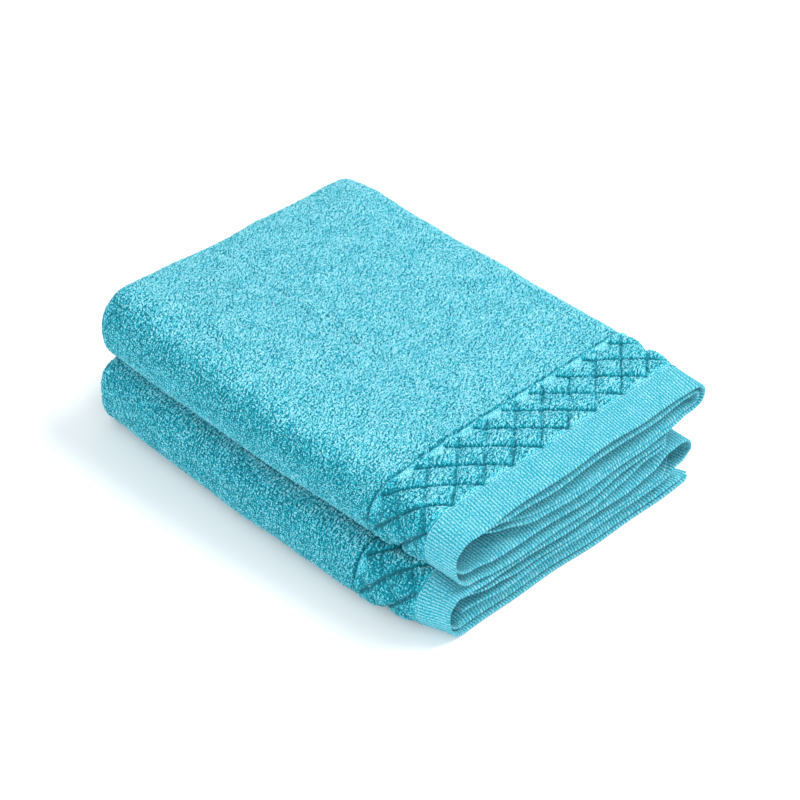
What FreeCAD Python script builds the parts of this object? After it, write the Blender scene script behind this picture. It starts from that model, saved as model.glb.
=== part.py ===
import FreeCAD, Part
import math
import os

# Bath towel set: two terry towels of the same size, folded the same way and laid one on the other.
#
# Each towel is one cloth. It is folded in half twice along its length, which gives a strip four
# plies thick with both hems at one end, and then in three across its width: the strip's middle
# third is the bottom-to-top C of the pack. Going round that C, the strip is
#
#   bottom panel -> left fold -> top panel -> right fold -> middle panel, tucked inside.
#
# The cloth is divided where its weave or its run changes: plain terry panels and folds, the woven
# border and the flat hem at each end of the cloth, the terry fold that lies between the two ends,
# and the thread that closes each hem.
#
# Frame: origin at the centre of the base, +X along the pack towards the hems, +Y across it
# towards the side where the plies lie open, +Z up. Millimetres.

# Driving dimensions
CLOTH_WIDTH = 700.0
PANELS = 3
PACK_LENGTH = 350.0
PACK_WIDTH = 250.0
TOWEL_HEIGHT_FOLDED_END = 53.0
TOWEL_HEIGHT_HEM_END = 43.0
HEM_LENGTH = 24.0
BORDER_LENGTH = 50.0
FREE_EDGE_INSET = 11.0
THREAD_WIDTH = 0.8
THREAD_SET_IN = 0.5
PLAY = 0.15
TOWEL_GAP = 0.4
UPPER_TOWEL_SHIFT = 6.0

# Shares of a panel's thickness, counted from the inside of the C to its outside
WHOLE_STRIP = (0.0, 1.0)
OUTER_PLY = (0.75, 1.0)
INNER_PLY = (0.5, 0.75)
FAR_PLIES = (0.0, 0.5)
OUTER_HEM = (0.5, 1.0)
INNER_HEM = (0.0, 0.5)

# Places along the pack
FOLDED_END = -PACK_LENGTH / 2
HEM_END = PACK_LENGTH / 2
HEM_START = HEM_END - HEM_LENGTH
BORDER_START = HEM_START - BORDER_LENGTH

AROUND_C = ("bottom", "left", "top", "right", "middle")
X_AXIS = FreeCAD.Vector(1, 0, 0)


def panel_thickness(x):
    """Thickness of one panel, four plies, at a place along the pack. It thins towards the flat hems."""
    share = (x - FOLDED_END) / PACK_LENGTH
    height = TOWEL_HEIGHT_FOLDED_END + share * (TOWEL_HEIGHT_HEM_END - TOWEL_HEIGHT_FOLDED_END)
    return height / PANELS


def section(level, x):
    """Thickness, base height, and the centres of the left and right folds at x. Level 0 is the lower towel."""
    thick = panel_thickness(x)
    base = level * (PANELS * thick + TOWEL_GAP)
    middle = (level - 0.5) * UPPER_TOWEL_SHIFT
    left = middle - PACK_WIDTH / 2 + thick * PANELS / 2
    right = middle + PACK_WIDTH / 2 - thick
    return thick, base, left, right


def straight_span(run, level, x):
    """Where a straight run of the C starts and ends across the pack."""
    _, _, left, right = section(level, x)
    free_edge = right + panel_thickness(x) - FREE_EDGE_INSET
    return (left, free_edge) if run == "bottom" else (left, right)


def straight_heights(run, band, level, x):
    """Lowest and highest point of a band of plies on a straight run."""
    thick, base, _, _ = section(level, x)
    inner, outer = band
    if run == "top":
        low, high = base + (2 + inner) * thick, base + (2 + outer) * thick
    elif run == "middle":
        low, high = base + (2 - outer) * thick, base + (2 - inner) * thick
    else:
        low, high = base + (1 - outer) * thick, base + (1 - inner) * thick
    above_floor = PLAY if low > 0 else 0.0
    return low + above_floor, high - PLAY


def fold_centre(run, level, x):
    """Centre of a fold's turn, and the strip's inside radius there."""
    thick, base, left, right = section(level, x)
    if run == "left":
        return FreeCAD.Vector(x, left, base + 1.5 * thick), 0.5 * thick
    return FreeCAD.Vector(x, right, base + 2 * thick), 0.0


def fold_radii(run, band, level, x):
    """Inner and outer radius of a band of plies on a fold."""
    thick = panel_thickness(x)
    _, bore = fold_centre(run, level, x)
    outer_play = 0.0 if run == "left" and band[1] == 1.0 and level == 0 else PLAY
    return bore + band[0] * thick + PLAY, bore + band[1] * thick - outer_play


def rectangle(x, y_span, z_span):
    """Corners of an upright rectangle across the pack."""
    return [
        FreeCAD.Vector(x, y_span[0], z_span[0]),
        FreeCAD.Vector(x, y_span[1], z_span[0]),
        FreeCAD.Vector(x, y_span[1], z_span[1]),
        FreeCAD.Vector(x, y_span[0], z_span[1]),
    ]


def half_ring(run, band, level, x):
    """Outline of a band of plies on a fold, across the pack at x."""
    centre, _ = fold_centre(run, level, x)
    inner, outer = fold_radii(run, band, level, x)
    side = -1 if run == "left" else 1
    up = FreeCAD.Vector(0, 0, 1)
    out = FreeCAD.Vector(0, side, 0)
    outer_arc = Part.Arc(centre + up * outer, centre + out * outer, centre - up * outer)
    inner_arc = Part.Arc(centre - up * inner, centre + out * inner, centre + up * inner)
    edges = [
        outer_arc.toShape(),
        Part.makeLine(centre - up * outer, centre - up * inner),
        inner_arc.toShape(),
        Part.makeLine(centre + up * inner, centre + up * outer),
    ]
    return Part.Wire(edges)


def length_of_fold(run, band, level, x_from, x_to):
    """The band of plies on a fold of the C, from one place along the pack to another."""
    ends = [half_ring(run, band, level, x) for x in (x_from, x_to)]
    return Part.makeLoft(ends, True, True)


def length_of_panel(run, band, level, x_from, x_to):
    """The band of plies on a straight run of the C. Its faces are all flat."""
    ends = [
        rectangle(x, straight_span(run, level, x), straight_heights(run, band, level, x))
        for x in (x_from, x_to)
    ]
    near, far = ends
    sides = [
        [near[i], near[(i + 1) % 4], far[(i + 1) % 4], far[i]]
        for i in range(4)
    ]
    faces = [Part.Face(Part.makePolygon(loop + loop[:1])) for loop in [near, far] + sides]
    return Part.Solid(Part.Shell(faces))


def length_of_run(run, band, level, x_from, x_to):
    """The band of plies on one run of the C, from one place along the pack to another."""
    build = length_of_fold if run in ("left", "right") else length_of_panel
    return build(run, band, level, x_from, x_to)


def half_disc(centre, radius, across, towards):
    """Half-disc face with its flat side along a direction and its round side towards another."""
    arc = Part.Arc(centre + across * radius, centre + towards * radius, centre - across * radius)
    flat = Part.makeLine(centre - across * radius, centre + across * radius)
    return Part.Face(Part.Wire([arc.toShape(), flat]))


def round_end(run, band, level, x, towards):
    """Rounded end of the band of plies on one run, where the cloth turns back or a hem's edge lies."""
    up = FreeCAD.Vector(0, 0, 1)
    if run in ("left", "right"):
        centre, _ = fold_centre(run, level, x)
        inner, outer = fold_radii(run, band, level, x)
        face = half_disc(centre + up * (inner + outer) / 2, (outer - inner) / 2, up, towards)
        turn = 180 if run == "left" else -180
        return face.revolve(centre, X_AXIS, turn)
    low, high = straight_heights(run, band, level, x)
    start, end = straight_span(run, level, x)
    centre = FreeCAD.Vector(x, start, (low + high) / 2)
    face = half_disc(centre, (high - low) / 2, up, towards)
    return face.extrude(FreeCAD.Vector(0, end - start, 0))


def seam(band):
    """The share of a panel's thickness that a hem's thread takes: it lies a little below the hem's faces."""
    set_in = THREAD_SET_IN / panel_thickness(HEM_START)
    return band[0] + set_in, band[1] - set_in


def joined(solids):
    """One solid from solids that meet face to face."""
    whole = solids[0].fuse(solids[1:]) if len(solids) > 1 else solids[0]
    solid = whole.Solids[0]
    if len(whole.Solids) != 1 or not solid.isValid() or solid.Volume <= 0:
        raise ValueError("a piece isn't one valid solid")
    return solid


def terry_zone(run, level):
    """Four plies of plain terry on one run of the C, with the turned-back end away from the hems."""
    turn = FOLDED_END + panel_thickness(FOLDED_END) / 2
    body = length_of_run(run, WHOLE_STRIP, level, turn, BORDER_START)
    return joined([body, round_end(run, WHOLE_STRIP, level, turn, -X_AXIS)])


def strip_around(band, level, x_from, x_to, rounded):
    """A band of plies all the way round the C, with a rounded end where the cloth is turned over."""
    radius = (band[1] - band[0]) * panel_thickness(x_to) / 2
    stop = x_to - radius if rounded else x_to
    solids = [length_of_run(run, band, level, x_from, stop) for run in AROUND_C]
    if rounded:
        solids += [round_end(run, band, level, stop, X_AXIS) for run in AROUND_C]
    return joined(solids)


def towel_pieces(towel, level):
    seam_end = HEM_START + THREAD_WIDTH
    pieces = {
        "bottom_panel": terry_zone("bottom", level),
        "left_fold": terry_zone("left", level),
        "top_panel": terry_zone("top", level),
        "right_fold": terry_zone("right", level),
        "middle_panel": terry_zone("middle", level),
        "far_fold": strip_around(FAR_PLIES, level, BORDER_START, HEM_START, True),
        "outer_border": strip_around(OUTER_PLY, level, BORDER_START, HEM_START, False),
        "inner_border": strip_around(INNER_PLY, level, BORDER_START, HEM_START, False),
        "outer_hem_thread": strip_around(seam(OUTER_HEM), level, HEM_START, seam_end, False),
        "inner_hem_thread": strip_around(seam(INNER_HEM), level, HEM_START, seam_end, False),
        "outer_hem": strip_around(OUTER_HEM, level, seam_end, HEM_END, True),
        "inner_hem": strip_around(INNER_HEM, level, seam_end, HEM_END, True),
    }
    return {towel + "_" + name: solid for name, solid in pieces.items()}


def cloth_across_pack(x):
    """Width of cloth that the C takes up at x, along the middle of the strip."""
    thick, _, left, right = section(0, x)
    free_edge = straight_span("bottom", 0, x)[1]
    return (free_edge - left) + 2 * (right - left) + math.pi * thick * 1.5


def main():
    os.makedirs("parts", exist_ok=True)
    taken = cloth_across_pack(0.0)
    if abs(taken - CLOTH_WIDTH) > 0.03 * CLOTH_WIDTH:
        raise ValueError("the fold takes up %.0f mm of cloth, not %.0f" % (taken, CLOTH_WIDTH))
    for level, towel in enumerate(("lower", "upper")):
        for node, solid in towel_pieces(towel, level).items():
            solid.exportStep("parts/" + node + ".step")


main()
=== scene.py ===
import math

import bpy
import numpy as np
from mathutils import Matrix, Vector


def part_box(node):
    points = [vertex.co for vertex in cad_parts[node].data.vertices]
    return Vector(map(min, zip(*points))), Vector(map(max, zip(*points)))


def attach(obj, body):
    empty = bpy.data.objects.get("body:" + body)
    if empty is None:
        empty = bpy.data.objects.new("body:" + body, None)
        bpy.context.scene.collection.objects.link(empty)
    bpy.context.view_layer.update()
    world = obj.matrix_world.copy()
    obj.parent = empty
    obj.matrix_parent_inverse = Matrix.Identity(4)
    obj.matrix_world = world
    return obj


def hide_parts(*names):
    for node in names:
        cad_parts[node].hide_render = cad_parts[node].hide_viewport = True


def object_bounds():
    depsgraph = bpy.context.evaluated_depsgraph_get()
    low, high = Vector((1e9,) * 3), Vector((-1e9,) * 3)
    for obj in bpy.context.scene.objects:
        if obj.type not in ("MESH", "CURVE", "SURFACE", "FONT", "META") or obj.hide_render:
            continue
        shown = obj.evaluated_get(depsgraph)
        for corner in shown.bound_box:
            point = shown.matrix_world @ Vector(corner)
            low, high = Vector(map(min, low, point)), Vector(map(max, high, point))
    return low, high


# Two folded terry bath towels, one on the other. Each towel is one cloth, modelled as it is folded:
# in half twice along its length, so four plies with both hems at the +X end, then in three across
# its width, which gives the C of the pack. The cloth is worked out in millimetres, in the CAD's frame.

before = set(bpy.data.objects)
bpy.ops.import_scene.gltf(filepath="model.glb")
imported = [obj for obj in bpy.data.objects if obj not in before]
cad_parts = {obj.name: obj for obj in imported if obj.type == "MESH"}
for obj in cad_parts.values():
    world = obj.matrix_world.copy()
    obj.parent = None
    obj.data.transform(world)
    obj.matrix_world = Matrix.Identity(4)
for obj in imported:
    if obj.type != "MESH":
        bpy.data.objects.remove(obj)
cad_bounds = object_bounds()

MM = 0.001
SEED = 11

# --- The fold, as the CAD has it -------------------------------------------------------------


def node_box(node):
    """Lowest and highest corner of a CAD node in millimetres."""
    return [np.array(corner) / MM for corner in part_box(node)]


FOLDED_END = cad_bounds[0].x / MM
HEM_END = cad_bounds[1].x / MM
BORDER_START = node_box("upper_outer_border")[0][0]
HEM_START = node_box("upper_outer_hem_thread")[0][0]
TOWEL_HEIGHT_FOLDED_END = 53.0
TOWEL_HEIGHT_HEM_END = 43.0
TOWEL_GAP = 0.4
PLIES = 4
OUTER_PLY, INNER_PLY, FAR_INNER_PLY, FAR_OUTER_PLY = 0.875, 0.625, 0.375, 0.125
PLY_PLAY = 0.08
HEM_HALF = 1.1
SELVEDGE_ROUND = 2.0
SELVEDGE_BLUNT = 0.3
HEM_SQUARENESS = 2.1

# A place "around" the C runs from 0 to 5, one unit for each run: the bottom from its free edge, the left
# fold, the top, the right fold, and the middle to the tucked-in edge


def panel_thickness(x):
    share = (x - FOLDED_END) / (HEM_END - FOLDED_END)
    return (TOWEL_HEIGHT_FOLDED_END + share * (TOWEL_HEIGHT_HEM_END - TOWEL_HEIGHT_FOLDED_END)) / 3


class HemShape:
    """How a hem's flange leaves the pack, by place around the C, in millimetres. Droop is how far its
    edge hangs below its ply's height, less than zero where it rises, recess is how far its edge stops
    short of the pack's end, and arch is how far it swells up half way."""

    def __init__(self, droop, recess, arch):
        self.droop = droop
        self.recess = recess
        self.arch = arch


class Towel:
    """Where one folded towel lies, and the shape of its hems at the +X end."""

    def __init__(self, name, level, outer_hem, inner_hem, left_pinch, right_tip, free_reach, puff, bow,
                 squareness):
        self.name = name
        self.level = level
        self.left_side = node_box(name + "_left_fold")[0][1]
        self.right_side = node_box(name + "_right_fold")[1][1]
        self.free_edge = node_box(name + "_bottom_panel")[1][1]
        self.outer_hem = outer_hem
        self.inner_hem = inner_hem
        self.left_pinch = left_pinch
        self.right_tip = right_tip
        self.free_reach = free_reach
        self.puff = puff
        self.bow = bow
        self.squareness = squareness


UPPER = Towel(
    "upper", 1,
    outer_hem=HemShape(
        droop=[
            (0.0, -3.0), (0.2, 0.0), (0.33, 5.5), (0.5, 9.0), (0.9, 9.5), (1.0, 6.5), (1.5, 4.0),
            (1.8, 8.5), (2.0, 9.6), (2.17, 6.2), (2.43, 5.5), (2.62, 4.5), (2.77, 6.3), (3.0, 7.0),
            (3.5, 2.0), (4.0, -2.0), (4.1, 1.0), (4.25, 3.4), (4.57, 3.6), (4.72, 2.2), (4.85, -2.0),
            (5.0, -8.0),
        ],
        recess=[(0.0, 20.0), (0.14, 0.0), (4.7, 0.0), (5.0, 12.0)],
        arch=[(0.0, 0.0), (3.6, 0.0), (4.1, 1.5), (4.8, 1.0), (5.0, 0.0)],
    ),
    inner_hem=HemShape(
        droop=[
            (0.0, -1.5), (0.3, 0.8), (0.5, 4.6), (0.75, 3.0), (0.9, 3.5), (1.0, 0.5), (1.5, 4.5),
            (1.8, 9.0), (2.0, 9.2), (2.08, 8.0), (2.2, 10.0), (2.33, 11.2), (2.5, 9.0), (2.7, 9.0),
            (2.85, 10.6), (3.0, 8.6), (3.5, 3.0), (4.0, -1.2), (4.1, 2.0), (4.25, 4.4), (4.57, 4.6),
            (4.72, 3.2), (4.85, -1.0), (5.0, -6.5),
        ],
        recess=[
            (0.0, 20.0), (0.14, 0.8), (1.0, 1.5), (1.5, 4.0), (2.0, 3.0), (2.15, 0.8), (4.65, 1.5),
            (5.0, 14.0),
        ],
        arch=[
            (0.0, 0.0), (0.2, 3.0), (0.8, 3.0), (1.0, 0.0), (3.6, 0.0), (4.1, 2.5), (4.8, 1.5), (5.0, 0.0),
        ],
    ),
    left_pinch=3.0, right_tip=4.0, free_reach=0.0, puff=3.0,
    bow=[(0.0, 2.5), (0.25, 6.0), (0.5, 6.5), (0.75, 4.5), (0.92, 2.0), (1.0, 0.0)],
    squareness=(3.0, 2.0),
)
LOWER = Towel(
    "lower", 0,
    outer_hem=HemShape(
        droop=[
            (0.0, 0.3), (1.0, 0.3), (1.5, 0.0), (1.8, 5.0), (2.0, 7.6), (2.1, 9.7), (2.25, 11.4),
            (2.5, 12.9), (2.7, 12.8), (2.85, 9.5), (2.95, 3.0), (3.0, 2.4), (3.5, 0.0), (3.75, -4.5),
            (4.0, -5.0), (4.08, -0.8), (4.25, 0.2), (4.5, -0.6), (4.8, 0.8), (5.0, -0.8),
        ],
        recess=[(0.0, 2.0), (0.03, 0.0), (4.8, 0.0), (5.0, 3.0)],
        arch=[
            (0.0, 0.0), (2.1, 0.0), (2.5, 1.5), (2.8, 0.0), (4.0, 0.0), (4.2, 1.5), (4.8, 1.0), (5.0, 0.0),
        ],
    ),
    inner_hem=HemShape(
        droop=[
            (0.0, 1.6), (0.1, 0.6), (0.3, 1.0), (1.0, 1.0), (1.5, 1.0), (1.8, 5.0), (2.0, 7.0), (2.1, 8.7),
            (2.25, 10.4), (2.5, 11.9), (2.7, 11.8), (2.85, 8.5), (2.95, 2.4), (3.0, 2.0), (3.5, 0.0),
            (3.75, -3.5), (4.0, -4.0), (4.08, 0.2), (4.25, 1.2), (4.5, 0.4), (4.75, -0.8), (4.87, -4.8),
            (5.0, -7.8),
        ],
        recess=[
            (0.0, 3.0), (0.06, 1.2), (1.5, 4.0), (2.1, 2.5), (2.8, 2.0), (2.95, 20.0), (3.9, 20.0),
            (4.1, 1.0), (4.9, 1.0), (5.0, 4.0),
        ],
        arch=[
            (0.0, 0.0), (0.12, 2.5), (0.35, 6.0), (0.9, 6.0), (1.1, 0.0), (4.0, 0.0), (4.2, 2.5),
            (4.9, 2.0), (5.0, 0.0),
        ],
    ),
    left_pinch=5.0, right_tip=0.0, free_reach=12.0, puff=0.0,
    bow=[(0.0, 3.5), (0.25, 8.0), (0.5, 11.5), (0.8, 11.0), (0.93, 6.0), (1.0, 2.0)],
    squareness=(2.6, 3.0),
)


# The pack's top
PUFF_AT_LEFT = 0.35
PUFF_RUN_IN = 40.0
SHOULDER_DROP = 5.0
SHOULDER_WIDTH = 75.0
SHOULDER_RUN_IN = 70.0
TOP_RUN_OUT = (20.0, 10.0)
TOP_LAYER = (0.3, 0.95)
BROAD_WAVE = 0.5
NARROW_WAVE = 0.35
CREASE_HALF = 2.4
CREASE_DEPTH = 2.2
CREASE_RIDGE = 1.0
CREASE_RIDGE_OFFSET = 6.5
CREASE_RIDGE_HALF = 3.0
CREASE_RUN_IN = 12.0
CREASE_WANDER = 0.9

# The pack's sides and ends
BOW_REACH = 55.0
LOWER_PRESSED_BOW = 0.35
SIDE_WAVES = (0.8, 0.5)
END_WAVES = (0.8, 0.5)

# The hems start to leave the pack this far before the seam, and would still turn this far past the end
HEM_BEND_LEAD = 14.0
HEM_BEND_PAST = 10.0
HEM_EDGE_ANGLES = (8, 30, 60, 90)
SQUARE_LEAD = 30.0
FREE_EDGE_SHARE = 0.35

# Where each crease starts and stops along the pack, and across it at those two places
TOP_CREASES = (
    (-165.0, -10.0, -21.0, -25.0), (-125.0, -55.0, -87.0, -93.0), (-60.0, 20.0, -16.0, -28.0),
)


def smooth_curve(points, at):
    """Cosine-eased curve through a few points."""
    places, values = np.array(points).T
    index = np.clip(np.searchsorted(places, at, side="right") - 1, 0, len(places) - 2)
    share = np.clip((at - places[index]) / (places[index + 1] - places[index]), 0, 1)
    eased = (1 - np.cos(np.pi * share)) / 2
    return values[index] + (values[index + 1] - values[index]) * eased


def ease(value, start, stop):
    """0 before start and 1 after stop, smooth between."""
    share = np.clip((value - start) / (stop - start), 0, 1)
    return share * share * (3 - 2 * share)


def strip_point(towel, x, depth, around, hem):
    """A point of the folded strip. Depth is from the strip's inner face, around is the place on the C,
    and hem is the shape of the hem that the ply runs into, or None."""
    thick = panel_thickness(x)
    base = towel.level * (3 * thick + TOWEL_GAP)
    left = towel.left_side + 1.5 * thick
    right = towel.right_side - thick
    run = np.clip(np.floor(around), 0, 4).astype(int)
    share = around - run
    angle = np.pi * share
    pressed = np.where(share < 0.5, towel.squareness[0], towel.squareness[1])
    power = pressed + (HEM_SQUARENESS - pressed) * ease(x, BORDER_START - SQUARE_LEAD, HEM_START)
    square = np.power(np.abs(np.sin(angle)) ** power + np.abs(np.cos(angle)) ** power, -1 / power)
    left_radius = (0.5 * thick + depth) * square
    y = np.choose(run, [
        towel.free_edge + (left - towel.free_edge) * share,
        left - left_radius * np.sin(angle),
        left + (right - left) * share,
        right + depth * np.sin(angle),
        right + (left - right) * share,
    ])
    z = np.choose(run, [
        thick - depth,
        1.5 * thick - left_radius * np.cos(angle),
        2 * thick + depth,
        2 * thick + depth * np.cos(angle),
        2 * thick - depth,
    ])
    height = z / (3 * thick)
    z = z + base + pile_puff(towel, x, y, height)
    y = y + side_wander(towel, x, height) - side_bow(towel, x, y, height)
    if hem is not None:
        bend_start, bend_stop = HEM_START - HEM_BEND_LEAD, HEM_END + HEM_BEND_PAST
        out = ease(x, bend_start, bend_stop) / ease(HEM_END, bend_start, bend_stop)
        flange = np.clip((x - HEM_START) / (HEM_END - HEM_START), 0, 1)
        z = z - smooth_curve(hem.droop, around) * out
        z = z + smooth_curve(hem.arch, around) * np.sin(np.pi * flange)
        on_left = np.clip((left - y) / (1.5 * thick), 0, 1)
        on_right = np.clip((y - right) / thick, 0, 1)
        at_free_edge = 1 - ease(around, 0.0, FREE_EDGE_SHARE)
        y = y + out * (towel.left_pinch * on_left + towel.right_tip * on_right)
        y = y + out * towel.free_reach * at_free_edge
        x = x - smooth_curve(hem.recess, around) * flange
    return x + end_wander(towel, y, height, x), y, np.maximum(z, 0)


def pile_puff(towel, x, y, height):
    """How far the pack's plies rise above their even spacing. The top is fullest along its right side,
    slopes down to its left shoulder, and has long shallow creases."""
    across = (y - towel.left_side) / (towel.right_side - towel.left_side)
    fullness = PUFF_AT_LEFT + (1 - PUFF_AT_LEFT) * across
    rise = towel.puff * fullness * ease(x, FOLDED_END, FOLDED_END + PUFF_RUN_IN)
    along = (x - FOLDED_END) / (HEM_END - FOLDED_END)
    waves = BROAD_WAVE * np.sin(5.1 * along + 2.4 * across + towel.level)
    waves = waves + NARROW_WAVE * np.sin(9.7 * across - 3.2 * along)
    from_end = ease(x, FOLDED_END, FOLDED_END + SHOULDER_RUN_IN)
    out_start, out_stop = TOP_RUN_OUT
    between_ends = from_end * (1 - ease(x, BORDER_START - out_start, HEM_START + out_stop))
    at_shoulder = 1 - ease(y, towel.left_side, towel.left_side + SHOULDER_WIDTH)
    slope = SHOULDER_DROP * at_shoulder * between_ends
    on_top = np.clip(height, 0, 1.1) * ease(height, *TOP_LAYER)
    full = (rise + (waves - slope) * (towel.puff > 0)) * on_top
    if towel is UPPER:
        full = full + top_creases(x, y) * (height > TOP_LAYER[1])
    return full


def top_creases(x, y):
    """Long shallow creases on the pack's top, each with a faint ridge beside it."""
    height = np.zeros_like(y)
    for x_from, x_to, y_from, y_to in TOP_CREASES:
        straight = y_from + (y_to - y_from) * (x - x_from) / (x_to - x_from)
        line = straight + CREASE_WANDER * np.sin(0.13 * x)
        fade = ease(x, x_from, x_from + CREASE_RUN_IN) * (1 - ease(x, x_to - CREASE_RUN_IN, x_to))
        fade = fade * (0.7 + 0.3 * np.sin(0.21 * x + 0.5 * y_from))
        groove = np.exp(-(((y - line) / CREASE_HALF) ** 2))
        ridge = np.exp(-(((y - line - CREASE_RIDGE_OFFSET) / CREASE_RIDGE_HALF) ** 2))
        height = height + fade * (CREASE_RIDGE * ridge - CREASE_DEPTH * groove)
    return height


def side_bow(towel, x, y, height):
    """How far the pack's left side swells out between its two ends. The lower towel is pressed, so it
    swells most near the floor."""
    along = np.clip((x - FOLDED_END) / (HEM_END - FOLDED_END), 0, 1)
    near_side = 1 - ease(y, towel.left_side, towel.left_side + BOW_REACH)
    pressed = 1 + (LOWER_PRESSED_BOW * (0.5 - height) if towel is LOWER else 0.0)
    return smooth_curve(towel.bow, along) * near_side * pressed


def side_wander(towel, x, height):
    """Slow unevenness of the pack's long sides."""
    along = (x - FOLDED_END) / (HEM_END - FOLDED_END)
    long_wave = SIDE_WAVES[0] * np.sin(7.3 * along + 2.1 * towel.level)
    short_wave = SIDE_WAVES[1] * np.sin(15.1 * along + 1.0)
    return (long_wave + short_wave) * (height - 0.4)


def end_wander(towel, y, height, x):
    """Slow unevenness of the folded end and the hems' edges."""
    towards_ends = ease(np.abs(x), 0.5 * HEM_END, HEM_END)
    long_wave = END_WAVES[0] * np.sin(0.031 * y + 1.7 * towel.level)
    short_wave = END_WAVES[1] * np.sin(0.083 * y + 3 * height)
    return towards_ends * (long_wave + short_wave)


# --- Places around the C and across the cloth ------------------------------------------------

COARSE_CELL = 10.0
FINE = 15
HEM_FINE = 20
TERRY_STEP = COARSE_CELL / FINE
HEM_ROWS = 16
HIDDEN_ROWS = 44
SHOWN_TURN_ROWS = 32
HIDDEN_TURN_ROWS = 7
FAR_FOLD_INSET = 10.0
SQUARED_FOLD_EXTRA = 1.04


def run_lengths(towel):
    """Length of the outer ply on each run of the C, half way along the border."""
    thick = panel_thickness((BORDER_START + HEM_START) / 2)
    width = towel.right_side - towel.left_side
    straight = width - 2.5 * thick
    bottom = towel.free_edge - towel.left_side - 1.5 * thick
    outer = thick * OUTER_PLY
    left_fold = math.pi * (0.5 * thick + outer) * SQUARED_FOLD_EXTRA
    return np.array([bottom, left_fold, straight, math.pi * outer, straight])


class Columns:
    """The cloth's coarse cells across its width, and the place around the C of every point."""

    def __init__(self, towel):
        lengths = run_lengths(towel)
        self.cells = np.maximum(1, np.round(lengths / COARSE_CELL).astype(int))
        self.lengths = lengths
        self.starts = np.concatenate([[0.0], np.cumsum(lengths)])

    def points(self, fineness):
        """Places around the C, with a number of points to each coarse cell of each run."""
        parts = [
            run + np.arange(count * fine) / (count * fine)
            for run, (count, fine) in enumerate(zip(self.cells, fineness))
        ]
        return np.concatenate(parts + [[5.0]])

    def per_cell(self, fineness):
        return np.repeat(fineness, self.cells)

    def across(self, around):
        """Distance across the cloth in millimetres."""
        run = np.clip(np.floor(around), 0, 4).astype(int)
        return self.starts[run] + (around - run) * self.lengths[run]


SHOWN_TERRY = (5, FINE, FINE, FINE, 2)
FOLDED_END_TERRY = (FINE, FINE, FINE, FINE, FINE)
HIDDEN = (2, 2, 2, 2, 2)
BACK_OF_TERRY = (1, 4, 1, 4, 1)
ALL_HEM = (HEM_FINE,) * 5

# --- Stations along the cloth's length -------------------------------------------------------


def station(x, share, front_way, half, zone, front, back, hem, back_way=None):
    """One row of the cloth: its middle line in the strip, which way its front and its back face, its
    half thickness, its weave, and how finely its front and back are divided."""
    back_way = back_way or (-front_way[0], -front_way[1])
    return dict(x=x, share=share, ways=(back_way, front_way), half=half, zone=zone,
                fineness=(back, front), hem=hem)


def hem_stations(ply, facing, hem):
    """From a hem's folded edge, which is round, to the seam."""
    rows = []
    edge = HEM_END - HEM_HALF
    for angle in np.radians(HEM_EDGE_ANGLES):
        front_way = (math.cos(angle), facing * math.sin(angle))
        back_way = (math.cos(angle), -facing * math.sin(angle))
        rows.append(station(edge, ply, front_way, HEM_HALF, "hem", ALL_HEM, ALL_HEM, hem, back_way))
    for x in np.linspace(edge, HEM_START + 1.0, HEM_ROWS)[1:]:
        rows.append(station(x, ply, (0.0, facing), HEM_HALF, "hem", ALL_HEM, ALL_HEM, hem))
    return rows


def terry_half(x):
    return panel_thickness(x) / PLIES / 2 - PLY_PLAY


def cloth_stations(towel):
    """All rows from the outer hem's edge, round the folded end and the far fold, to the inner hem's edge."""
    turn = FOLDED_END + panel_thickness(FOLDED_END) / 2
    far_end = HEM_START - FAR_FOLD_INSET
    rows = hem_stations(OUTER_PLY, 1, towel.outer_hem)
    for x in np.arange(HEM_START - 0.3, BORDER_START, -TERRY_STEP):
        rows.append(station(x, OUTER_PLY, (0, 1), terry_half(x), "border", SHOWN_TERRY, BACK_OF_TERRY,
                            towel.outer_hem))
    for x in np.arange(BORDER_START, turn, -TERRY_STEP):
        rows.append(station(x, OUTER_PLY, (0, 1), terry_half(x), "terry", SHOWN_TERRY, BACK_OF_TERRY, None))
    rows += turn_stations(turn, 0.5, OUTER_PLY, -1, FOLDED_END_TERRY, SHOWN_TURN_ROWS)
    rows += hidden_ply(FAR_OUTER_PLY, turn, far_end, None)
    rows += turn_stations(far_end, 0.25, FAR_OUTER_PLY, 1, HIDDEN, HIDDEN_TURN_ROWS)
    rows += hidden_ply(FAR_INNER_PLY, far_end, turn, None)
    rows += turn_stations(turn, 0.5, FAR_INNER_PLY, -1, HIDDEN, HIDDEN_TURN_ROWS)
    rows += hidden_ply(INNER_PLY, turn, HEM_START - 1, towel.inner_hem)
    return rows + hem_stations(INNER_PLY, -1, towel.inner_hem)[::-1]


def hidden_ply(ply, start, stop, hem):
    """A length of terry inside the pack."""
    return [
        station(x, ply, (0, FRONT_OF[ply]), terry_half(x), "terry", HIDDEN, HIDDEN, hem)
        for x in np.linspace(start, stop, HIDDEN_ROWS)[1:]
    ]


def turn_stations(x, centre, start, direction, fineness, count):
    """A half turn of the cloth about a line across the pack. Start is the ply it comes from."""
    reach = start - centre
    faces = math.copysign(1, reach * FRONT_OF[start])
    rows = []
    for angle in np.linspace(0, math.pi, count + 1):
        out = abs(reach) * panel_thickness(x) * math.sin(angle) * direction
        way = (math.sin(angle) * direction * faces, math.copysign(1, reach) * math.cos(angle) * faces)
        rows.append(station(x + out, centre + reach * math.cos(angle), way, terry_half(x), "terry",
                            fineness, HIDDEN, None))
    return rows


# Which way the front of the cloth faces on each ply: 1 is away from the inside of the C
FRONT_OF = {OUTER_PLY: 1, FAR_OUTER_PLY: -1, FAR_INNER_PLY: 1, INNER_PLY: -1}

# --- The relief of the weave -----------------------------------------------------------------

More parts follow.
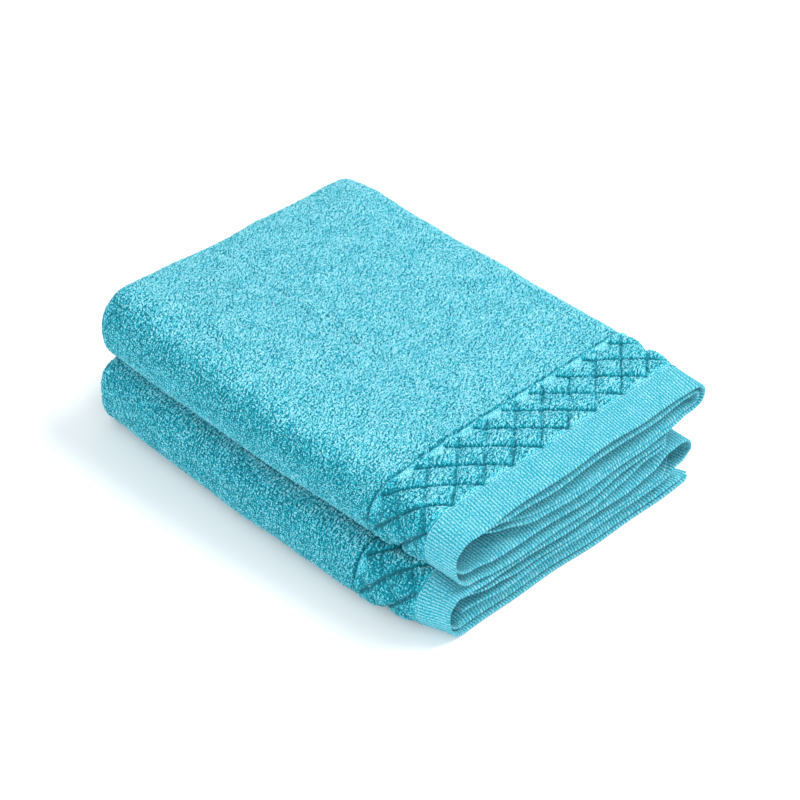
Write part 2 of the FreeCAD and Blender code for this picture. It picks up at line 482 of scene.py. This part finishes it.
FLAT_WIDTH = 700.0
FLAT_LENGTH = 1400.0
LOOP_PITCH_ALONG = 1.55
LOOP_PITCH_ACROSS = 2.05
LOOP_HALF_LENGTH = 1.45
LOOP_HALF_WIDTH = 0.66
LOOP_HEIGHT = 1.5
RIB_PITCH = 2.5
RIB_HEIGHT = 0.32
RIB_BLUNTNESS = 0.8
CROSS_PITCH = 1.6
CROSS_SLANT = 1.9
CROSS_DIP = 0.3
PILE_LEVEL = 0.7
SLOW_HEIGHT = 0.8
LUMP_HEIGHT = 0.35
PILE_MEAN = 0.6
# How strongly the loops' height paints shade between them and light on their tips
PILE_SHADE_CONTRAST = 0.75
TERRY_TONE = 0.57
DIAMOND_WIDTH = 27.3
DIAMOND_LENGTH = 24.0
DIAMOND_PHASE = 0.45
GROOVE_HALF = 1.15
GROOVE_WANDER = 0.9
DEEP_GROOVE = 2.3
SHALLOW_GROOVE = 1.7
CUSHION_RISE = 1.7
CUSHION_EDGE = 4.0
FLATTENED = 0.75
START_GROOVE = 0.9
START_GROOVE_PLACE = 1.2
START_GROOVE_HALF = 1.6
LIP_HEIGHT = 1.3
LIP_PLACE = 4.6
LIP_HALF = 2.0
BORDER_SINK = 0.5
# How much of the grooves' wander each kind of groove follows
DEEP_WANDER = 0.3
SHALLOW_WANDER = 0.8
START_WANDER = 0.7
# A shallow groove comes and goes in patches
PATCH_MEAN = 0.55
PATCH_SPREAD = 0.45
CUSHION_FLATTENED = 0.8
# The border's height fades out between these distances from the hem's seam
HEM_STEP = (-0.5, 3.5)
# Tones in the border: how much painted shade each groove gets, the deep family more than the shallow one, and
# how light the cushions (painted light on their loop tips), the flat halves and the seam are
DEEP_GROOVE_PAINTED_SHADE = 0.95
SHALLOW_GROOVE_PAINTED_SHADE = 0.85
START_GROOVE_PAINTED_SHADE = 0.7
CUSHION_TONE = 0.88
FLAT_TONE = 0.4
FLAT_PILE_LOSS = 0.6
SEAM_TONE = 0.55
# Pitches of the slow noises, in millimetres
WANDER_PITCH = 7.0
PATCH_PITCH = 5.0
SLOW_PITCH = 45.0
LUMP_PITCH = 14.0
# How far each loop strays from its place, how it is turned in degrees, and its height
STRAY_ALONG = 0.4
STRAY_ACROSS = 0.2
LOOP_TURN = (30, 105)
LOOP_TALLNESS = (0.55, 1.0)


class SlowNoise:
    """Smooth random heights from -1 to 1 over a whole cloth, with bumps of about one pitch."""

    def __init__(self, pitch, seed):
        self.pitch = pitch
        size = (int(FLAT_LENGTH / pitch) + 6, int(FLAT_WIDTH / pitch) + 40)
        self.values = np.random.default_rng(seed).uniform(-1, 1, size)

    def heights(self, along, across):
        u, v = along / self.pitch + 2, across / self.pitch + 2
        i, j = np.floor(u).astype(int), np.floor(v).astype(int)
        fu, fv = ease(u - i, 0, 1), ease(v - j, 0, 1)
        near = self.values[i, j] * (1 - fv) + self.values[i, j + 1] * fv
        far = self.values[i + 1, j] * (1 - fv) + self.values[i + 1, j + 1] * fv
        return near * (1 - fu) + far * fu


class LoopField:
    """Terry loops over a whole cloth. They stand in columns along the cloth, and each is a short round
    ridge that leans roughly across its column."""

    def __init__(self, seed):
        random = np.random.default_rng(seed)
        cells = (int(FLAT_LENGTH / LOOP_PITCH_ALONG) + 40, int(FLAT_WIDTH / LOOP_PITCH_ACROSS) + 60)
        self.shift_along = random.uniform(-STRAY_ALONG, STRAY_ALONG, cells)
        self.shift_across = random.uniform(-STRAY_ACROSS, STRAY_ACROSS, cells)
        self.turn = np.radians(random.uniform(*LOOP_TURN, cells))
        self.tall = random.uniform(*LOOP_TALLNESS, cells)

    def heights(self, along, across):
        """Height of the loops, from 0 to 1, at one distance along the cloth."""
        place = along / LOOP_PITCH_ALONG + 2
        columns = across / LOOP_PITCH_ACROSS + 2
        nearest = np.floor(columns).astype(int)
        best = np.zeros(len(across))
        for i in range(int(place) - 1, int(place) + 2):
            for step in (-1, 0, 1):
                j = nearest + step
                u = (place - (i + 0.5 + self.shift_along[i, j])) * LOOP_PITCH_ALONG
                v = (columns - (j + 0.5 + self.shift_across[i, j])) * LOOP_PITCH_ACROSS
                cos, sin = np.cos(self.turn[i, j]), np.sin(self.turn[i, j])
                lengthwise = (u * cos + v * sin) / LOOP_HALF_LENGTH
                sideways = (v * cos - u * sin) / LOOP_HALF_WIDTH
                ridge = np.sqrt(np.clip(1 - lengthwise ** 2 - sideways ** 2, 0, 1))
                best = np.maximum(best, self.tall[i, j] * ridge)
        return best


class Weave:
    """The relief of one towel's cloth."""

    def __init__(self, seed):
        self.loops = LoopField(seed)
        self.wander = SlowNoise(WANDER_PITCH, seed + 1)
        self.patches = SlowNoise(PATCH_PITCH, seed + 2)
        self.slow = SlowNoise(SLOW_PITCH, seed + 3)
        self.lumps = SlowNoise(LUMP_PITCH, seed + 4)

    def relief(self, row, across):
        """Height of the weave above the cloth's body on one row, and its tone: painted shade low between the
        loops or ribs and painted light high on their tips.
        """
        if row["zone"] == "hem":
            wave = np.abs(np.sin(np.pi * across / RIB_PITCH)) ** RIB_BLUNTNESS
            dips = np.sin(np.pi * row["along"] / CROSS_PITCH + CROSS_SLANT * across) > 0
            crossed = 1 - CROSS_DIP * dips
            # Painted shade between the ribs and in their cross dips, painted light on the rib crests
            return RIB_HEIGHT * (wave * crossed - 1), wave * crossed
        pile = self.loops.heights(row["along"], across)
        if row["zone"] == "terry":
            slow = SLOW_HEIGHT * self.slow.heights(row["along"], across)
            uneven = slow + LUMP_HEIGHT * self.lumps.heights(row["along"], across)
            # Painted shade in the gaps between the loops and painted light on their tips, following the
            # loops' height
            shade = TERRY_TONE + PILE_SHADE_CONTRAST * (pile - PILE_MEAN)
            return LOOP_HEIGHT * (pile - PILE_LEVEL) + uneven, shade
        return self.border(row, across, pile)

    def border(self, row, across, pile):
        """Raised terry diamonds with narrow grooves between them, the grooves painted with shade. The half
        diamonds beside the plain terry are flat, and a straight groove starts the pattern."""
        along = row["x"] - BORDER_START
        wander = GROOVE_WANDER * self.wander.heights(row["along"], across)
        a = along / DIAMOND_LENGTH
        b = across / DIAMOND_WIDTH + DIAMOND_PHASE
        spacing = DIAMOND_WIDTH * DIAMOND_LENGTH / math.hypot(DIAMOND_WIDTH, DIAMOND_LENGTH)
        rising = np.abs(np.abs((a - b + 0.5) % 1 - 0.5) * spacing + wander * DEEP_WANDER)
        falling = np.abs(np.abs((a + b + 0.5) % 1 - 0.5) * spacing + wander * SHALLOW_WANDER)
        into_first = along - DIAMOND_LENGTH * np.abs(b % 1 - 0.5)
        flat = 1 - ease(into_first, -1.0, 1.0)
        patches = PATCH_MEAN + PATCH_SPREAD * self.patches.heights(row["along"], across)
        raised = 1 - FLATTENED * flat
        deep = np.exp(-((rising / GROOVE_HALF) ** 2)) * raised
        shallow = np.exp(-((falling / GROOVE_HALF) ** 2)) * patches * raised
        from_start = along - START_GROOVE_PLACE + START_WANDER * wander
        start = START_GROOVE * np.exp(-((from_start / START_GROOVE_HALF) ** 2))
        lip = LIP_HEIGHT * np.exp(-(((along - LIP_PLACE) / LIP_HALF) ** 2))
        nearest = np.minimum(rising, falling)
        cushion = CUSHION_RISE * (1 - np.exp(-((nearest / CUSHION_EDGE) ** 2)))
        cushion = cushion * (1 - CUSHION_FLATTENED * flat)
        to_hem = ease(HEM_START - row["x"] + wander, *HEM_STEP)
        grooves = DEEP_GROOVE * np.maximum(deep, start) + SHALLOW_GROOVE * shallow
        loops = LOOP_HEIGHT * raised * (pile - PILE_LEVEL)
        height = (cushion + lip - grooves + loops) * to_hem - BORDER_SINK
        # Painted shade in the grooves, where shade falls, more in the deep family than in the shallow one
        groove_shade = np.clip(DEEP_GROOVE_PAINTED_SHADE * deep + SHALLOW_GROOVE_PAINTED_SHADE * shallow + START_GROOVE_PAINTED_SHADE * start, 0, 1) * to_hem
        lit = CUSHION_TONE * pile * (1 - FLAT_PILE_LOSS * flat) + FLAT_TONE * flat
        return height, lit * (1 - groove_shade) * to_hem + SEAM_TONE * (1 - to_hem)


# --- Building the cloth ----------------------------------------------------------------------

ZONES = ("terry", "border", "hem")


class Sheet:
    """Collects rows of points and the faces between them."""

    def __init__(self):
        self.points, self.shades, self.cloth, self.faces = [], [], [], []
        self.count = 0

    def row(self, points, shade, cloth, per_cell):
        start = self.count
        self.points.append(points)
        self.shades.append(shade)
        self.cloth.append(cloth)
        self.count += len(points)
        return dict(start=start, per_cell=per_cell, stops=np.concatenate([[0], np.cumsum(per_cell)]))

    def join(self, p, q, zone, flip):
        """Faces between two rows. Where their fineness differs, a face takes a whole coarse cell."""
        same = p["per_cell"] == q["per_cell"]
        for cell in np.flatnonzero(~same):
            near = p["start"] + np.arange(p["stops"][cell], p["stops"][cell + 1] + 1)
            far = q["start"] + np.arange(q["stops"][cell], q["stops"][cell + 1] + 1)
            ring = np.concatenate([near, far[::-1]])
            self.faces.append((ring[None, ::-1] if flip else ring[None, :], zone))
        if same.any():
            starts = [
                (p["stops"][cell] + k, q["stops"][cell] + k)
                for cell in np.flatnonzero(same) for k in range(p["per_cell"][cell])
            ]
            a, b = np.array(starts).T
            a, b = a + p["start"], b + q["start"]
            quads = np.stack([a, a + 1, b + 1, b], axis=1)
            self.faces.append((quads[:, ::-1] if flip else quads, zone))

    def quad_strip(self, corners, zone, flip):
        quads = np.stack(corners, axis=1)
        self.faces.append((quads[:, ::-1] if flip else quads, zone))

    def mesh(self, name):
        mesh = bpy.data.meshes.new(name)
        points = np.concatenate(self.points) * MM
        mesh.vertices.add(len(points))
        mesh.vertices.foreach_set("co", points.astype(np.float32).ravel())
        sizes = np.concatenate([np.full(len(f), f.shape[1]) for f, _ in self.faces])
        loops_of = np.concatenate([f.ravel() for f, _ in self.faces])
        zones = np.concatenate([np.full(len(f), zone) for f, zone in self.faces])
        mesh.loops.add(len(loops_of))
        mesh.loops.foreach_set("vertex_index", loops_of.astype(np.int32))
        mesh.polygons.add(len(sizes))
        mesh.polygons.foreach_set("loop_start", np.concatenate([[0], np.cumsum(sizes)[:-1]]).astype(np.int32))
        mesh.polygons.foreach_set("material_index", zones.astype(np.int32))
        mesh.polygons.foreach_set("use_smooth", np.ones(len(sizes), bool))
        mesh.update(calc_edges=True)
        # The pile attribute holds the tone: painted shade between loops and ribs, painted light on their tips
        shade = mesh.attributes.new("pile", "FLOAT", "POINT")
        shade.data.foreach_set("value", np.concatenate(self.shades).astype(np.float32))
        cloth = mesh.attributes.new("cloth", "FLOAT_VECTOR", "POINT")
        cloth.data.foreach_set("vector", np.concatenate(self.cloth).astype(np.float32).ravel())
        return mesh


def selvedge_share(across, width):
    """The cloth's thickness rounds off at its two long edges."""
    inside = np.clip(np.minimum(across, width - across) / SELVEDGE_ROUND, 0, 1)
    return np.maximum(np.sqrt(1 - (1 - inside) ** 2), SELVEDGE_BLUNT)


FRONT, BACK = 1, 0
# The pile is pressed flat on the underside of the upper towel's left fold
PRESSED_PLACE = 1.22
PRESSED_SPREAD = 0.13
PRESSED_SHARE = 0.65
PRESSED_SHADE = 0.62
BACK_SHADE = 0.6
# Painted shade: the left fold, which is the pack's side, is given a deeper tone than the top because it gets
# less light
SIDE_PAINTED_SHADE = 0.18


def cloth_row(sheet, towel, columns, row, face, weave):
    """One row of points on the cloth's front or back."""
    fineness, way = row["fineness"][face], row["ways"][face]
    around = columns.points(fineness)
    across = columns.across(around)
    taper = selvedge_share(across, columns.starts[-1])
    height, shade = weave.relief(row, across)
    if towel is UPPER and row["zone"] == "terry":
        pressed = PRESSED_SHARE * np.exp(-(((around - PRESSED_PLACE) / PRESSED_SPREAD) ** 2))
        height = height * (1 - pressed)
        shade = shade + (PRESSED_SHADE - shade) * pressed
    if row["zone"] != "hem":
        # Painted shade on the left fold, the pack's side
        shade = shade - SIDE_PAINTED_SHADE * ease(around, 1.0, 1.3) * (1 - ease(around, 1.7, 2.0))
    if face == BACK and row["zone"] != "hem":
        height, shade = np.zeros_like(across), np.full_like(across, BACK_SHADE)
    out = (row["half"] + height) * taper
    x = row["x"] + out * way[0]
    depth = row["share"] * panel_thickness(row["x"]) + out * way[1]
    points = np.stack(strip_point(towel, x, depth, around, row["hem"]), axis=1)
    cloth = np.stack([np.full_like(across, row["along"]), across, np.zeros_like(across)], axis=1) * MM
    return sheet.row(points, shade, cloth, columns.per_cell(fineness))


def measured(rows):
    """Gives each row its distance along the cloth."""
    along, before = 0.0, None
    for row in rows:
        here = (row["x"], row["share"] * panel_thickness(row["x"]))
        along += math.dist(here, before) if before else 0.0
        row["along"], before = along, here
    return rows


def build_cloth(towel):
    sheet = Sheet()
    columns = Columns(towel)
    rows = measured(cloth_stations(towel))
    weave = Weave(SEED + 10 * towel.level)
    fronts = [cloth_row(sheet, towel, columns, row, FRONT, weave) for row in rows]
    backs = [cloth_row(sheet, towel, columns, row, BACK, weave) for row in rows]
    for i in range(len(rows) - 1):
        zone = ZONES.index(rows[i + 1]["zone"])
        sheet.join(fronts[i], fronts[i + 1], zone, False)
        sheet.join(backs[i], backs[i + 1], zone, True)
    hem = ZONES.index("hem")
    sheet.join(backs[0], fronts[0], hem, False)
    sheet.join(fronts[-1], backs[-1], hem, False)
    for edge, flip in ((0, True), (-1, False)):
        at = [
            np.array([r["start"] + r["stops"][edge] for r in side])
            for side in (fronts, backs)
        ]
        zones = np.array([ZONES.index(row["zone"]) for row in rows[1:]])
        for zone in range(len(ZONES)):
            pick = np.flatnonzero(zones == zone)
            f, b = at
            sheet.quad_strip([f[pick], f[pick + 1], b[pick + 1], b[pick]], zone, flip)
    mesh = sheet.mesh(towel.name + "_towel_cloth")
    cloth = bpy.data.objects.new(towel.name + "_towel_cloth", mesh)
    bpy.context.scene.collection.objects.link(cloth)
    for zone in ZONES:
        mesh.materials.append(MATERIALS[zone])
    return cloth


# --- Hem threads -----------------------------------------------------------------------------

STITCH_LENGTH = 3.2
THREAD_RADIUS = 0.26
THREAD_SIDES = 6
SEAM_INSET = 0.4
STITCH_FINE = 12
STITCH_SHOWN = 0.8
STITCH_LIFT = 0.18
STITCH_DIP = -0.5


def build_thread(towel, ply, facing, hem, name):
    """The lockstitch along a hem's seam: a thread that dips into the cloth between stitches."""
    columns = Columns(towel)
    around = columns.points((STITCH_FINE,) * 5)
    across = columns.across(around)
    phase = across / STITCH_LENGTH % 1
    lift = np.where(phase < STITCH_SHOWN, STITCH_LIFT, STITCH_DIP)
    x = np.full_like(across, HEM_START + SEAM_INSET)
    depth = ply * panel_thickness(x) + facing * (HEM_HALF + lift)
    centre = np.stack(strip_point(towel, x, depth, around, hem), axis=1)
    further = np.stack(strip_point(towel, x, depth + 1.0, around, hem), axis=1)
    up = further - centre
    up /= np.linalg.norm(up, axis=1)[:, None]
    side = np.tile([1.0, 0.0, 0.0], (len(centre), 1))
    sides = THREAD_SIDES
    rings = [
        centre + THREAD_RADIUS * (math.cos(a) * up + math.sin(a) * side)
        for a in np.linspace(0, 2 * math.pi, sides, endpoint=False)
    ]
    points = np.stack(rings, axis=1).reshape(-1, 3) * MM
    steps = np.arange(len(centre) - 1)[:, None] * sides
    around_ring = np.arange(sides)[None, :]
    after = (around_ring + 1) % sides
    corners = [steps + around_ring, steps + after, steps + sides + after, steps + sides + around_ring]
    quads = np.stack(corners, -1)
    mesh = bpy.data.meshes.new(name)
    ends = [list(range(sides))[::-1], [(len(centre) - 1) * sides + k for k in range(sides)]]
    mesh.from_pydata(points.tolist(), [], quads.reshape(-1, 4).tolist() + ends)
    mesh.polygons.foreach_set("use_smooth", np.ones(len(mesh.polygons), bool))
    mesh.materials.append(MATERIALS["thread"])
    thread = bpy.data.objects.new(name, mesh)
    bpy.context.scene.collection.objects.link(thread)
    return thread


# --- Materials -------------------------------------------------------------------------------


def srgb(red, green, blue):
    """Linear colour from the usual 0 to 255 values."""
    return tuple(((c / 255 + 0.055) / 1.055) ** 2.4 for c in (red, green, blue)) + (1.0,)


DEEP = srgb(0, 104, 120)
MID = srgb(4, 166, 184)
LIGHT = srgb(150, 203, 214)
HEM_DEEP = srgb(0, 134, 152)
HEM_MID = srgb(60, 156, 172)
HEM_LIGHT = srgb(128, 188, 201)


COTTON_ROUGHNESS = 0.95
COTTON_SPECULAR = 0.15
SHEEN_ROUGHNESS = 0.6
SHEEN_TINT = (0.8, 0.95, 1.0, 1.0)
MOTTLE_SCALE = 70.0
MOTTLE_DETAIL = 3.0
MOTTLE_SHARE = 0.35
NOISE_MIDDLE = 0.5
BUMP_STRENGTH = 0.7


def value_node(nodes, kind, **settings):
    node = nodes.new(kind)
    for name, value in settings.items():
        setattr(node, name, value)
    return node


def mix_in(tree, base, extra, amount, centre):
    """base + amount * (extra - centre)."""
    node = value_node(tree.nodes, "ShaderNodeMath", operation="MULTIPLY_ADD")
    node.inputs[1].default_value = amount
    tree.links.new(extra, node.inputs[0])
    shift = value_node(tree.nodes, "ShaderNodeMath", operation="SUBTRACT")
    shift.inputs[1].default_value = amount * centre
    tree.links.new(base, shift.inputs[0])
    tree.links.new(shift.outputs[0], node.inputs[2])
    return node.outputs[0]


def cloth_material(name, colours, sheen, grain_pitch, grain_share, bump_height):
    """Dyed cotton, with painted shade between the loops or ribs and painted light at their tips, read from
    the pile attribute, and slow and fine random variation. Colours are pairs of a tone and its colour, from
    darkest to lightest."""
    material = bpy.data.materials.new(name)
    material.use_nodes = True
    tree = material.node_tree
    nodes, links = tree.nodes, tree.links
    shader = nodes["Principled BSDF"]
    shader.inputs["Roughness"].default_value = COTTON_ROUGHNESS
    shader.inputs["Specular IOR Level"].default_value = COTTON_SPECULAR
    shader.inputs["Sheen Weight"].default_value = sheen
    shader.inputs["Sheen Roughness"].default_value = SHEEN_ROUGHNESS
    shader.inputs["Sheen Tint"].default_value = SHEEN_TINT
    pile = value_node(nodes, "ShaderNodeAttribute", attribute_name="pile")
    place = value_node(nodes, "ShaderNodeAttribute", attribute_name="cloth")
    mottle = nodes.new("ShaderNodeTexNoise")
    mottle.inputs["Scale"].default_value = MOTTLE_SCALE
    mottle.inputs["Detail"].default_value = MOTTLE_DETAIL
    grain = nodes.new("ShaderNodeTexNoise")
    grain.inputs["Scale"].default_value = 1 / grain_pitch
    grain.inputs["Detail"].default_value = 0.0
    for texture in (mottle, grain):
        links.new(place.outputs["Vector"], texture.inputs["Vector"])
    tone = mix_in(tree, pile.outputs["Fac"], grain.outputs["Fac"], grain_share, NOISE_MIDDLE)
    tone = mix_in(tree, tone, mottle.outputs["Fac"], MOTTLE_SHARE, NOISE_MIDDLE)
    ramp = nodes.new("ShaderNodeValToRGB")
    ramp.color_ramp.elements.new(0.5)
    for element, (tone_at, colour) in zip(ramp.color_ramp.elements, colours):
        element.position = tone_at
        element.color = colour
    links.new(tone, ramp.inputs["Fac"])
    links.new(ramp.outputs["Color"], shader.inputs["Base Color"])
    bump = nodes.new("ShaderNodeBump")
    bump.inputs["Distance"].default_value = bump_height
    bump.inputs["Strength"].default_value = BUMP_STRENGTH
    links.new(grain.outputs["Fac"], bump.inputs["Height"])
    links.new(bump.outputs["Normal"], shader.inputs["Normal"])
    return material


# The tone at which each colour is reached
TERRY_COLOURS = ((0.18, DEEP), (0.40, MID), (0.80, LIGHT))
HEM_COLOURS = ((0.25, HEM_DEEP), (0.58, HEM_MID), (0.92, HEM_LIGHT))
MATERIALS = {
    "terry": cloth_material("terry", TERRY_COLOURS, 0.12, 0.0008, 1.4, 0.0005),
    "border": cloth_material("border", TERRY_COLOURS, 0.12, 0.0008, 1.2, 0.0005),
    "hem": cloth_material("hem", HEM_COLOURS, 0.05, 0.0010, 1.3, 0.0004),
    "thread": cloth_material("thread", HEM_COLOURS, 0.1, 0.0010, 0.3, 0.0001),
}

# --- The towels ------------------------------------------------------------------------------

CLOTH_NODES = (
    "bottom_panel", "left_fold", "top_panel", "right_fold", "middle_panel", "far_fold",
    "outer_border", "inner_border", "outer_hem", "inner_hem",
)

for towel in (LOWER, UPPER):
    cloth = build_cloth(towel)
    body = towel.name + "_towel"
    threads = [
        build_thread(towel, OUTER_PLY, 1, towel.outer_hem, towel.name + "_outer_hem_stitches"),
        build_thread(towel, INNER_PLY, -1, towel.inner_hem, towel.name + "_inner_hem_stitches"),
    ]
    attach(cloth, body)
    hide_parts(*[towel.name + "_" + node for node in CLOTH_NODES])
    for thread, which in zip(threads, ("outer", "inner")):
        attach(thread, body)
        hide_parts(towel.name + "_" + which + "_hem_thread")

# --- Floor, light and camera -----------------------------------------------------------------

FLOOR_HALF = 6.0
PAPER = (0.9, 0.9, 0.9, 1)
PAPER_ROUGHNESS = 0.9

floor_mesh = bpy.data.meshes.new("floor")
floor_corners = [(x * FLOOR_HALF, y * FLOOR_HALF, 0) for x, y in ((-1, -1), (1, -1), (1, 1), (-1, 1))]
floor_mesh.from_pydata(floor_corners, [], [(0, 1, 2, 3)])
floor = bpy.data.objects.new("floor", floor_mesh)
bpy.context.scene.collection.objects.link(floor)
paper = bpy.data.materials.new("floor_paper")
paper.use_nodes = True
paper_inputs = paper.node_tree.nodes["Principled BSDF"].inputs
paper_inputs["Base Color"].default_value = PAPER
paper_inputs["Roughness"].default_value = PAPER_ROUGHNESS
floor_mesh.materials.append(paper)


def area_light(name, position, size, watts):
    light = bpy.data.lights.new(name, "AREA")
    light.size = size
    light.energy = watts
    lamp = bpy.data.objects.new(name, light)
    lamp.location = position
    lamp.rotation_euler = (-Vector(position)).to_track_quat("-Z", "Y").to_euler()
    bpy.context.scene.collection.objects.link(lamp)


# Name, position in metres, size in metres and watts of each light
STUDIO_LIGHTS = (
    ("key", (0.6, 1.2, 1.8), 1.1, 46),
    ("fill", (1.8, -1.2, 1.0), 1.6, 25),
    ("side_fill", (-0.5, -2.0, 0.6), 1.4, 18),
)
for light_row in STUDIO_LIGHTS:
    area_light(*light_row)

WORLD_COLOUR = (0.90, 0.97, 1.0, 1)
WORLD_STRENGTH = 0.80

world = bpy.data.worlds.new("studio")
world.use_nodes = True
background = world.node_tree.nodes["Background"].inputs
background["Color"].default_value = WORLD_COLOUR
background["Strength"].default_value = WORLD_STRENGTH
bpy.context.scene.world = world
bpy.context.scene.view_settings.view_transform = "Standard"

CAMERA_AZIMUTH = 45.1
CAMERA_ELEVATION = 36.22
CAMERA_DISTANCE = 1.55
CAMERA_TARGET = Vector((0.011, -0.005, 0.050))
CAMERA_LENS = 99.0
SENSOR_WIDTH = 36.0

azimuth, elevation = math.radians(CAMERA_AZIMUTH), math.radians(CAMERA_ELEVATION)
back = Vector((
    math.sin(azimuth) * math.cos(elevation),
    -math.cos(azimuth) * math.cos(elevation),
    math.sin(elevation),
))
camera_data = bpy.data.cameras.new("camera")
camera_data.lens = CAMERA_LENS
camera_data.sensor_width = SENSOR_WIDTH
camera = bpy.data.objects.new("camera", camera_data)
camera.location = CAMERA_TARGET + back * CAMERA_DISTANCE
camera.rotation_euler = back.to_track_quat("Z", "Y").to_euler()
bpy.context.scene.collection.objects.link(camera)
bpy.context.scene.camera = camera
